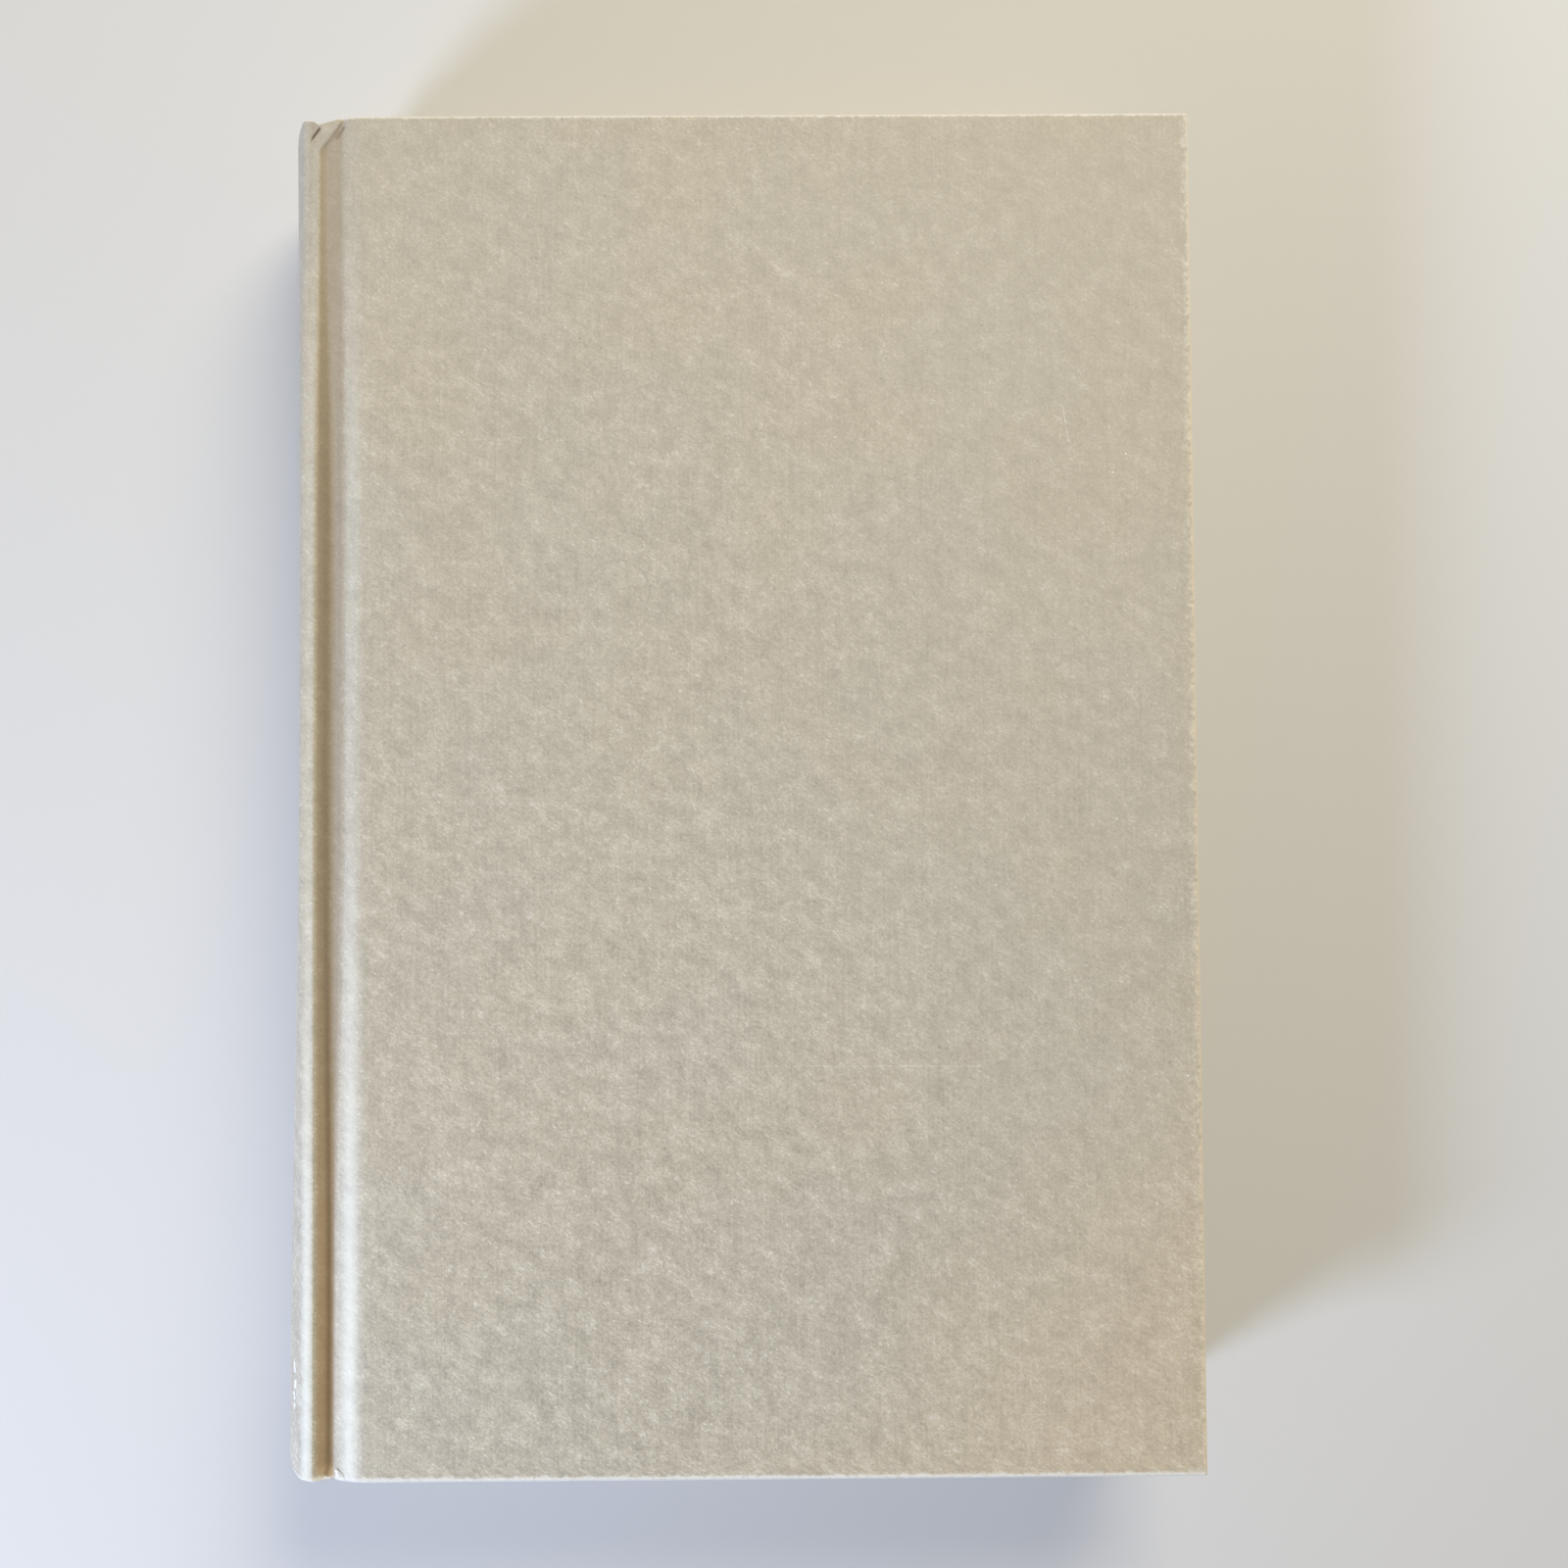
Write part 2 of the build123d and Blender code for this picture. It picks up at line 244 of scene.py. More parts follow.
cover = {
    "edgeRound": 0.5,
    "foldRound": 0.26,
    "spineRound": 0.45,
    # the back is hollow along its length, and its sides are flat at the middle and full at the tail
    "bowIn": 0.36,
    "bowEnding": (0.05, 0.75),
    "bowLossAtHead": 0.85,
    "bowPower": 0.8,
    "swell": (-0.27, 0.45),
    "swellRun": (0.05, 0.95),
    "swellPower": 1.7,
    "capLength": 1.8,
    "headCap": 0.2,
    "tailCap": 0.3,
    "arcPoints": 34,
    "spineBlend": (-3, 2),
    "boardBlend": (-0.9, 0.3),
    # how far the folded ends stop short of the boards' ends: place from the board's edge, gap
    "headGaps": [(-12.5, 0.9), (-10.0, 0.55), (-8.6, 0.42), (-7.6, 0.45), (-6.0, 0.62), (-5.3, 1.15),
                 (-4.9, 1.3), (-4.1, 0.95), (-1.6, 0.35), (0.4, 0.04), (3.0, 0.0)],
    "tailGaps": [(-12.5, 1.7), (-10.5, 0.8), (-9.0, 0.4), (-7.4, 0.3), (-5.4, 0.12), (-3.8, 0.1),
                 (-2.6, 0.3), (-2.0, 0.36), (-1.4, 0.05), (0.2, 0.0), (3.0, 0.0)],
    "gapRun": 8.0,
    "endRows": (0, 0.3, 0.6, 0.9, 1.2, 1.6, 2, 2.5, 3.1, 3.8, 4.6, 5.6, 6.8, 8.4, 10.5),
    "middleFrom": 13.2,
    "middleRows": 72,
    "fanColumns": 5,
    "turnInRows": (0.4, 0.9, 1.6, 2.5, 3.5, 5, 7, 10),
    "leastWall": 0.005,
    "weld": 0.004,
    # slight unevenness of the pressed boards: height, sizes of its waves, and where it starts
    "waviness": 0.035,
    "wideWave": (38, 46),
    "fineWave": (12, 15),
    "waveDrop": 0.85,
    "flatPoints": 20,
    "waveRun": 8.0,
    # rubbing and painted highlight round the edges: place past the face, half width, strength, and how it
    # fades on the face
    "rubsAndSheen": [(0.5, 0.45, 1.0), (3.2, 0.5, 0.7)],
    "faceWearSheen": 0.95,
    "faceWearSheenRun": 0.4,
    "tailWearSheenReach": 0.55,
}
paperEnd = boardEnd + book["paper"]
arcEnd = math.asin(book["arcEndLevel"] / book["caseRadius"])


def jointShares(y):
    # How much the joint is like its middle, its tail end and its head end, at one place along the book.
    deep = smooth(*joint["deepening"], -y)
    shallow = smooth(*joint["shallowing"], y)
    return {"middle": 1 - deep - shallow, "tail": deep, "head": shallow}


def bell(value, middle, width):
    return np.exp(-(((value - middle) / width) ** 2))


def blendOf(forms, shares):
    return sum(np.array(form) * shares[where] for where, form in forms.items())


def sectionAt(y):
    # The outer face of the covering paper at y, from the middle of the spine to the fore-edge.
    shares = jointShares(y)
    closing = np.clip((y - joint["closing"][0]) / (joint["closing"][1] - joint["closing"][0]), 0, 1)
    places = blendOf(joint["shape"], shares) * (1 - closing) + np.array(joint["closed"]) * closing
    liftStart, liftEnd = joint["liftRun"]
    places[1:3, 1] -= joint["tailLift"] * smooth(boardEnd + liftStart, boardEnd + liftEnd, -y)

    # the rounded back, a little hollow along its length and drawn in at both ends
    along = y / paperEnd
    headward = max(along, 0) ** 2
    bow = cover["bowIn"] * (1 - smooth(*cover["bowEnding"], -along)) * (1 - cover["bowLossAtHead"] * headward)
    swell = cover["swell"][0] * (1 - headward)
    swell += (cover["swell"][1] - swell) * smooth(*cover["swellRun"], -along)
    cap = cover["headCap"] if y > 0 else cover["tailCap"]
    bow += cap * max(0.0, 1 + (abs(y) - paperEnd) / cover["capLength"]) ** 2
    angles = spread(0, arcEnd, cover["arcPoints"])
    inward = bow * np.cos(angles / arcEnd * math.pi / 2) ** cover["bowPower"]
    inward -= swell * np.sin((angles / arcEnd) ** cover["swellPower"] * math.pi)
    radii = book["caseRadius"] - inward
    arc = np.stack([arcX - radii * np.cos(angles), radii * np.sin(angles)], 1)

    run = arc[-1] - arc[-2]
    corners = [arc[-1], arc[-1] + run * (halfThickness - joint["shoulderDrop"] - arc[-1][1]) / run[1]]
    corners += [(boardX + x, halfThickness - depth) for x, depth in places]
    corners += [(foreX + book["paper"] - cover["edgeRound"], halfThickness)]
    top = rounded(corners, blendOf(joint["cuts"], shares), joint["straights"], joint["turns"])
    return np.concatenate([arc[:-1], top])


def onSpine(count):
    # 1 along the rounded back and 0 past it, for each point of a section.
    first, last = cover["spineBlend"]
    return 1 - smooth(cover["arcPoints"] + first, cover["arcPoints"] + last, np.arange(count))


def onBoard(across):
    first, last = cover["boardBlend"]
    return smooth(boardX + first, boardX + last, across)


def turnedPath(section):
    # The visible face of the turned-in paper opposite each point of the outer face.
    depth = 2 * book["paper"] + book["cardThickness"] * onSpine(len(section))
    inner = section - normalsOf(section) * depth[:, None]
    flat = np.stack([section[:, 0], np.full(len(section), boardInner - book["paper"])], 1)
    share = onBoard(section[:, 0])[:, None]
    return inner * (1 - share) + flat * share


def endsOf(section, y):
    # Where each point of the section at y lies along the book, with the folded ends a little short.
    places, gaps = zip(*cover["headGaps" if y > 0 else "tailGaps"])
    gap = np.interp(section[:, 0] - boardX, places, gaps)
    return np.sign(y) * (abs(y) - gap * smooth(paperEnd - cover["gapRun"], paperEnd, abs(y)))


def jointMarks(section, y):
    # Dirt and painted shade in the joint, a darker line of painted shade in it, and the light bands beside
    # it, burnished by the pressing iron and painted as highlight.
    shares = jointShares(y)
    across = section[:, 0] - boardX
    soilAndShade = smooth(*blendOf(joint["soilShadeDepth"], shares), halfThickness - section[:, 1])
    soilAndShade = soilAndShade * (1 - smooth(*blendOf(joint["soilShadeEnd"], shares), across))
    soilAndShade[: cover["arcPoints"] + joint["cleanRidgePoints"]] = 0
    place, width = blendOf(joint["line"], shares)
    line = bell(across, place, width) * (1 - joint["lineFade"] * shares["head"])
    burnishAndHighlight = sum(bell(across, at, wide) for at, wide in joint["burnishAndHighlight"])
    burnishAndHighlight *= np.interp(shares["tail"], (0, 1), joint["paleStrength"]) * (1 - smooth(*joint["paleEnding"], y))
    burnishAndHighlight[: cover["arcPoints"] - joint["paleBackPoints"]] = 0
    burnishAndHighlight = np.clip(burnishAndHighlight - joint["soilShadeOverHighlight"] * soilAndShade, 0, 1)
    return np.stack([soilAndShade * np.interp(shares["tail"], (0, 1), joint["soilShadeStrength"]), line, burnishAndHighlight], 1)


def rowsAlong(piece, ends):
    # Places along the book, close together at both ends of the paper.
    middle = paperEnd - piece["middleFrom"]
    rows = [ends - paperEnd, spread(-middle, middle, piece["middleRows"]), (paperEnd - ends)[::-1]]
    return np.concatenate(rows)


def sheetFaces():
    # The outer face, the turned-in face under it, the run along each section, and the marks in the joint.
    rows = rowsAlong(cover, np.array(cover["endRows"]))
    outer = np.zeros((len(rows), len(sectionAt(0)), 3))
    inner, marks = np.zeros_like(outer), np.zeros_like(outer)
    along = np.zeros(outer.shape[:2])
    for i, y in enumerate(rows):
        section = sectionAt(y)
        for face, path in ((outer, section), (inner, turnedPath(section))):
            face[i, :, 0], face[i, :, 1], face[i, :, 2] = path[:, 0], endsOf(section, y), path[:, 1]
        along[i] = runOf(section)
        marks[i] = jointMarks(section, y)
    return outer, inner, along, marks


def edgeProfile(curve, size):
    # How far out and down the paper goes round an edge and back over the board's inner face.
    over = [(curve * math.sin(a), curve * (1 - math.cos(a))) for a in spread(0, math.pi / 2, 5)]
    wall = [(curve, curve + (size - 2 * curve) * share) for share in (0.25, 0.5, 0.75)]
    under = [(out, size - deep) for out, deep in reversed(over)]
    return over + wall + under + [(-run, size) for run in (*cover["turnInRows"], book["turnIn"] - curve)]


def coverHalf(name, above, seed):
    outer, inner, along, marks = sheetFaces()
    rows, columns = along.shape

    # the faces are drawn back so that the edge's round starts on the last row
    board = onBoard(outer[0, :, 0])
    rounds = cover["foldRound"] * (1 - board) + cover["edgeRound"] * board
    rounds = rounds * (1 - onSpine(columns)) + cover["spineRound"] * onSpine(columns)
    drawn = len(cover["endRows"])
    for k in range(drawn):
        for row in (k, -1 - k):
            outer[row, :, 1] -= np.sign(outer[row, :, 1]) * rounds * (1 - k / drawn)
            inner[row, :, 1] = outer[row, :, 1]

    for i in range(rows):
        for j in range(cover["arcPoints"] + cover["flatPoints"], columns):
            x, y = outer[i, j, :2]
            wide = noise.noise(Vector((x / cover["wideWave"][0] + seed, y / cover["wideWave"][1], seed)))
            fine = noise.noise(Vector((x / cover["fineWave"][0], y / cover["fineWave"][1], seed + 9)))
            lift = wide + 0.5 * fine - cover["waveDrop"]
            outer[i, j, 2] += cover["waviness"] * lift * smooth(boardX, boardX + cover["waveRun"], x)

    made = []
    for i in range(rows):
        for j in range(columns):
            made.append((outer[i, j], (along[i, j], outer[i, j, 1], 0), 0, marks[i, j]))
    faces = gridFaces(rows, columns)

    # the strip that goes round the boards' edges and back over their inner faces
    fan = spread(-90, 0, cover["fanColumns"] + 2)[1:-1]
    border = [(0, j, -90, "tail") for j in range(columns)]
    border += [(0, columns - 1, angle, "corner") for angle in fan]
    border += [(i, columns - 1, 0, "fore") for i in range(rows)]
    border += [(rows - 1, columns - 1, angle + 90, "corner") for angle in fan]
    border += [(rows - 1, j, 90, "head") for j in reversed(range(columns))]
    previous = None
    for i, j, angle, kind in border:
        start, finish = outer[i, j], inner[i, j]
        size = np.linalg.norm(finish - start)
        down = (finish - start) / size
        out = np.array([math.cos(math.radians(angle)), math.sin(math.radians(angle)), 0])
        atEnd = kind in ("tail", "head")
        curve = min(rounds[j], size / 2 - cover["leastWall"]) if atEnd else cover["edgeRound"]
        profile = edgeProfile(curve, size)
        ring = [i * columns + j]
        length = 0.0
        for last, (across, deep) in zip(profile, profile[1:]):
            length += math.dist(last, (across, deep))
            if across >= 0:
                point = start + out * across + down * deep
            elif kind == "fore":
                limit = paperEnd - rounds[-1] + across
                point = start + down * deep + out * across
                point[1] = np.clip(point[1], -limit, limit)
            elif kind == "corner":
                point = start + down * deep + np.array([1, np.sign(angle), 0]) * across
            else:
                y = start[1] + out[1] * across
                x, z = (np.interp(y, inner[:, j, 1], inner[:, j, axis]) for axis in (0, 2))
                point = np.array([min(x, outer[i, -1, 0] + across), y, z])
            place = (along[i, j] + out[0] * length, start[1] + out[1] * length, 0)
            # painted highlight and rubbing on the rounded edge
            lightened = sum(share * bell(length, at, wide) for at, wide, share in cover["rubsAndSheen"])
            ring.append(len(made))
            made.append((point, place, lightened, (0, 0, 0)))
        if previous:
            faces += [(previous[k], previous[k + 1], ring[k + 1], ring[k]) for k in range(len(ring) - 1)]
        previous = ring

    # rubbing and painted highlight run a little way onto the outer face beside the edges
    points, places, rubsAndSheen, grooves = map(np.array, zip(*made))
    face = points[: rows * columns]
    edgeGap = np.minimum(paperEnd - face[:, 1], foreX + book["paper"] - face[:, 0])
    edgeGap = np.minimum(edgeGap, (paperEnd + face[:, 1]) * cover["tailWearSheenReach"]) - cover["edgeRound"] / 2
    rubsAndSheen[: len(face)] = cover["faceWearSheen"] * np.exp(-np.clip(edgeGap, 0, None) / cover["faceWearSheenRun"])
    points[:, 2] += halfThickness
    if not above:
        points[:, 2] = 2 * halfThickness - points[:, 2]
        faces = [face[::-1] for face in faces]
        places = places * (-1, 1, 1)
    fields = {"sheet": places, "rubAndSheen": rubsAndSheen, "groove": grooves}
    return thicken(makeObject(name, points, faces, fields, weld=cover["weld"]), book["paper"])


coverFront = coverHalf("coverFront", True, 1.0)
coverBack = coverHalf("coverBack", False, 5.0)
blendStart, blendEnd = (boardX + place for place in joint["bend"])

card = {
    "outerDepth": 0.27,
    "innerDepth": 0.24 + book["cardThickness"],
    "endRows": (0.3, 4.0, 9),
    "middleFrom": 8.0,
    "middleRows": 40,
}


def cardStrip():
    # The card that stiffens the rounded back, just inside the covering paper.
    rows = rowsAlong(card, spread(*card["endRows"]))
    points = []
    for depth in (card["outerDepth"], card["innerDepth"]):
        for y in rows:
            section = sectionAt(y)
            path = (section - normalsOf(section) * depth)[: cover["arcPoints"] - 1]
            half = [(x, end, halfThickness + level) for (x, level), end in zip(path, endsOf(section, y))]
            points += [(x, end, 2 * halfThickness - z) for x, end, z in reversed(half[1:])] + half
    across, count = 2 * cover["arcPoints"] - 3, len(rows)
    outer = gridFaces(count, across)
    step = across * count
    faces = outer + [tuple(k + step for k in face[::-1]) for face in outer]
    rim = list(range(across)) + [i * across + across - 1 for i in range(1, count)]
    rim += [step - 1 - k for k in range(1, across)] + [i * across for i in range(count - 2, 0, -1)]
    faces += [(b, a, a + step, b + step) for a, b in zip(rim, rim[1:] + rim[:1])]
    return makeObject("spineCard", points, faces)


spineCard = cardStrip()
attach(spineCard, "book_block")
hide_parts("spine_inlay")
for piece, body, level, nodes in (
    (coverFront, "front_cover", 2 * halfThickness, ("front_cover_paper", "spine_cover_paper")),
    (coverBack, "back_cover", 0, ("back_cover_paper",)),
):
    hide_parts(*nodes)
    blendStart * mm
    level * mm
    blendEnd * mm
    level * mm
    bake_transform(piece)
print("covering paper made")

# Leaves

leaves = {
    "gatherings": 14,
    "rowsEach": 8,
    "shoulderColumns": 14,
    "flatColumns": 34,
    "lengthRows": 78,
    "foldDepth": 0.5,
    "foldFade": 300.0,
    "shoulderShare": 0.075,
    "innerFan": 9.0,
    "fanPower": 0.6,
    "outermost": 0.995,
    # unevenness of the cut edges from leaf to leaf and along them
    "ruffle": 0.06,
    "ruffleAcross": 45,
    "ruffleAlong": 25,
    "ruffleRest": 0.6,
    "weld": 0.002,
    "sharp": 35,
}


def leafPlace(q, share):
    # One place on a leaf: q runs from -1 at the back to 1 at the front, share from the spine outward.
    angle = q * tipAngle
    startX = arcX - book["backRadius"] * math.cos(angle)
    startLevel = book["backRadius"] * math.sin(angle)
    endX = leafForeX - book["hollow"] * (1 - q * q)
    fan = wallRun + leaves["innerFan"] * (1 - abs(q)) ** leaves["fanPower"]
    x = startX + (endX - startX) * share
    level = q * book["leavesLevel"]
    over = np.clip((x - startX) / fan, 0, 1)
    eased = 1 - over if abs(q) > leaves["outermost"] else 1 - over * over * (3 - 2 * over)
    return x, level + (startLevel - level) * float(eased)


def ruffleAt(q, place, seed):
    lump = noise.noise(Vector((q * leaves["ruffleAcross"], place / leaves["ruffleAlong"], seed)))
    return leaves["ruffle"] * (lump - leaves["ruffleRest"])


def boxOfLeaves():
    rows = leaves["gatherings"] * leaves["rowsEach"] + 1
    shoulder = spread(0, leaves["shoulderShare"], leaves["shoulderColumns"])
    shares = np.concatenate([shoulder[:-1], spread(leaves["shoulderShare"], 1, leaves["flatColumns"])])
    ends = spread(-1, 1, leaves["lengthRows"])
    points, fields, faces = [], [], []

    def sheet(us, vs, place, flip):
        base = len(points)
        for u in us:
            for v in vs:
                point, field = place(u, v)
                points.append(point)
                fields.append(field)
        faces.extend([tuple(base + k for k in face) for face in gridFaces(len(us), len(vs), flip)])

    def at(row, share, end):
        q = -1 + 2 * row / (rows - 1)
        x, level = leafPlace(q, share)
        step = row % leaves["rowsEach"]
        if step == 0 and 0 < row < rows - 1:
            x += leaves["foldDepth"] * math.exp(-share * leaves["foldFade"])
        y = end * leafEnd
        if abs(end) == 1:
            y += math.copysign(ruffleAt(q, x, end * 7), end)
        if share == 1:
            x += ruffleAt(q, y, 3)
        return (x, y, level + halfThickness), (q * book["leavesLevel"], x, y)

    # head and tail, fore-edge and back, then the outermost leaves
    steps = range(rows)
    sheet(steps, shares, lambda row, share: at(row, share, 1), True)
    sheet(steps, shares, lambda row, share: at(row, share, -1), False)
    sheet(steps, ends, lambda row, end: at(row, 1, end), True)
    sheet(steps, ends, lambda row, end: at(row, 0, end), False)
    sheet(shares, ends, lambda share, end: at(rows - 1, share, end), True)
    sheet(shares, ends, lambda share, end: at(0, share, end), False)
    piece = makeObject("leaves", points, faces, {"leaf": fields}, weld=leaves["weld"], sharp=leaves["sharp"])
    work = bmesh.new()
    work.from_mesh(piece.data)
    bmesh.ops.recalc_face_normals(work, faces=work.faces)
    work.to_mesh(piece.data)
    work.free()
    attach(piece, "book_block")
    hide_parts("text_block")
    return piece


leafBlock = boxOfLeaves()
print("leaves made")

# Endpapers, cloth and bands


def sheetAlong(name, path, ys, thickness, relief=None, above=True, outward=False):
    # A thin sheet whose section is path, laid along the book. relief raises it at each place.
    along = runOf(path)
    points, places = [], []
    for y in ys:
        for (x, level), run in zip(path, along):
            rise = relief(x, y) if relief else 0
            z = halfThickness + level + rise
            points.append((x, y, z if above else 2 * halfThickness - z))
            places.append((run, y, 0))
    faces = gridFaces(len(ys), len(path), flip=not above)
    piece = makeObject(name, points, faces, {"sheet": places})
    return thicken(piece, thickness, outward)


slope = math.radians(book["wallAngle"])
downWall = np.array([math.cos(slope), -math.sin(slope)])
offWall = np.array([math.sin(slope), math.cos(slope)])
tip = np.array([tipX, tipLevel])

endpaper = {
    "foldLength": 0.2,
    "stepWidth": 1.4,
    "clothLayer": 0.15,
    "turnCut": 0.7,
    "drape": 0.02,
    "drapeWave": (9, 11),
    "rows": 90,
    "columns": 62,
    "clothRows": 50,
    "clothColumns": 16,
    "wallRows": 6,
    "turnRows": 6,
}


def wallPath(offset, level, lastX, before=0.0, columns=endpaper["columns"]):
    # From the tip of the shoulder down its wall and out over the flat, offset from the leaves.
    start = tip + offWall * offset - downWall * before
    run = (start[1] - level) / math.sin(slope)
    corner = start + downWall * run
    straights = [endpaper["wallRows"], columns]
    return rounded([start, corner, (lastX, level)], [endpaper["turnCut"]], straights, [endpaper["turnRows"]])


def raisedOver(x, y):
    # The pastedown sinks onto the bare board inside the turned-in paper and past the cloth.
    width = endpaper["stepWidth"]
    clothX = boardX + book["clothFlange"]
    turnInX = foreX - book["turnIn"]
    inside = smooth(clothX, clothX + width, x) * (1 - smooth(turnInX - width, turnInX, x))
    inside = inside * (1 - smooth(turnInEnd - width, turnInEnd, abs(y)))
    waveAcross, waveAlong = endpaper["drapeWave"]
    drape = endpaper["drape"] * noise.noise(Vector((x / waveAcross, y / waveAlong, 4)))
    return float((book["paper"] + drape) * inside)


leafRows = spread(-leafEnd, leafEnd, endpaper["rows"])
flyleafLevel = book["leavesLevel"] + book["endpaper"]
flyleafPath = wallPath(book["endpaper"], flyleafLevel, leafForeX)
pastedownPath = wallPath(book["endpaper"], flyleafLevel, leafForeX, endpaper["foldLength"])
clothOffset = 2 * book["endpaper"] + endpaper["clothLayer"]
clothPath = wallPath(clothOffset, boardInner, boardX + book["clothFlange"], columns=endpaper["clothColumns"])
clothEnd = turnInEnd - book["clothEndGap"]
clothRows = spread(-clothEnd, clothEnd, endpaper["clothRows"])
sheets = {}
for side, above in (("front", True), ("back", False)):
    flyleaf = sheetAlong(side + "Flyleaf", flyleafPath, leafRows, book["endpaper"], above=above)
    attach(flyleaf, "book_block")
    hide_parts(side + "_flyleaf")
    pastedown = sheetAlong(
        side + "Pastedown", pastedownPath, leafRows, book["endpaper"], raisedOver, above, outward=True
    )
    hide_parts(side + "_pastedown")
    cloth = sheetAlong(side + "Cloth", clothPath, clothRows, endpaper["clothLayer"], above=above)
    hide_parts(side + "_super_flange")
    level = 2 * halfThickness if above else 0
    for piece in (pastedown, cloth):
        blendStart * mm
        level * mm
        blendEnd * mm
        level * mm
        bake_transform(piece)
    sheets[side] = (flyleaf, pastedown, cloth)

backAngles = spread(-tipAngle, tipAngle, 60)


def onBack(radius, angles=backAngles):
    return np.stack([arcX - radius * np.cos(angles), radius * np.sin(angles)], 1)


spineCloth = sheetAlong("spineCloth", onBack(book["backRadius"] + book["cloth"]), clothRows, book["cloth"])
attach(spineCloth, "book_block")
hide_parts("spine_super")

band = {
    "bead": 1.0,
    "pitch": 0.62,
    "groove": 0.09,
    "slant": 0.3,
    "threadPower": 0.6,
    # the band is thinner at its ends: its share there, and its growth with the root of the length
    "endSize": 0.35,
    "endGrowth": 0.75,
    "around": 20,
    "perWrap": 7,
    "tape": 11.5,
    "sideGap": 1.6,
    "sharp": 60,
    "tapeColumns": 50,
    "tapeRows": 12,
}


def sewnBand(name, node, end):
    # Thread wound over a core at one end of the back, on a tape that is glued to the cloth.
    radius = book["backRadius"] + book["cloth"]
    reach = tipAngle - band["sideGap"] / radius
    length = 2 * reach * (radius - band["bead"])
    wraps = round(length / band["pitch"])
    steps = wraps * band["perWrap"] + 1
    around = band["around"]
    points, fields, faces = [], [], []
    for turn in spread(0, 1, steps):
        angle = reach * (2 * turn - 1)
        taper = min(1.0, band["endSize"] + band["endGrowth"] * math.sqrt(min(turn, 1 - turn) * length))
        for j in range(around):
            about = 2 * math.pi * j / around
            wrap = turn * wraps + band["slant"] * math.sin(about)
            ridge = abs(math.sin(math.pi * wrap)) ** band["threadPower"]
            r = band["bead"] * taper * (1 - band["groove"] * (1 - ridge))
            out = radius - band["bead"] + r * math.cos(about)
            y = end * (leafEnd + band["bead"] + r * math.sin(about))
            points.append((arcX - out * math.cos(angle), y, halfThickness + out * math.sin(angle)))
            fields.append((wrap, about, turn))
    for i in range(steps - 1):
        for j in range(around):
            a, b = i * around + j, i * around + (j + 1) % around
            faces.append((a, b, b + around, a + around))
    faces.append(tuple(reversed(range(around))))
    faces.append(tuple((steps - 1) * around + j for j in range(around)))
    bead = makeObject(name, points, faces, {"wrap": fields}, sharp=band["sharp"])
    angles = spread(-reach, reach, band["tapeColumns"])
    low, high = sorted((end * (leafEnd - band["tape"]), end * (leafEnd + band["bead"])))
    rows = spread(low, high, band["tapeRows"])
    tape = sheetAlong(name + "Tape", onBack(radius, angles), rows, book["cloth"])
    for piece in (bead, tape):
        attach(piece, "book_block")
    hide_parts(node)
    return bead, tape


headBand = sewnBand("headBand", "head_band", 1)
tailBand = sewnBand("tailBand", "tail_band", -1)
print("endpapers, cloth and bands made")

# Materials


class Wire:
    # One output of a node, so that sums can be written as they are read.
    def __init__(self, nodes, socket):
        self.nodes = nodes
        self.socket = socket

    def maths(self, operation, other=None, swapped=False):
        inputs = [self] if other is None else [self, other]
        if swapped:
            inputs.reverse()
        return self.nodes.node("ShaderNodeMath", {"operation": operation}, dict(enumerate(inputs)))

    def __add__(self, other):
        return self.maths("ADD", other)

    def __sub__(self, other):
        return self.maths("SUBTRACT", other)

    def __rsub__(self, other):
        return self.maths("SUBTRACT", other, True)

    def __mul__(self, other):
        return self.maths("MULTIPLY", other)

    __radd__ = __add__
    __rmul__ = __mul__

    def times(self, amount):
        return self if amount == 1 else self * amount


class Nodes:
    # The node tree of a material or of the world.
    def __init__(self, tree):
        self.tree = tree

    def node(self, kind, settings=None, inputs=None, output=0):
        made = self.tree.nodes.new(kind)
        for key, value in (settings or {}).items():
            setattr(made, key, value)
        for key, value in (inputs or {}).items():
            self.feed(made.inputs[key], value)
        return Wire(self, made.outputs[output])

    def feed(self, socket, value):
        if isinstance(value, Wire):
            self.tree.links.new(value.socket, socket)
        else:
            socket.default_value = value

    def seen(self):
        # 1 for rays from the camera, also those that come by a reflection or through glass.
        names = ("Is Camera Ray", "Is Glossy Ray", "Is Transmission Ray")
        camera, glossy, transmission = (self.node("ShaderNodeLightPath", output=name) for name in names)
        return camera.maths("MAXIMUM", glossy).maths("MAXIMUM", transmission)


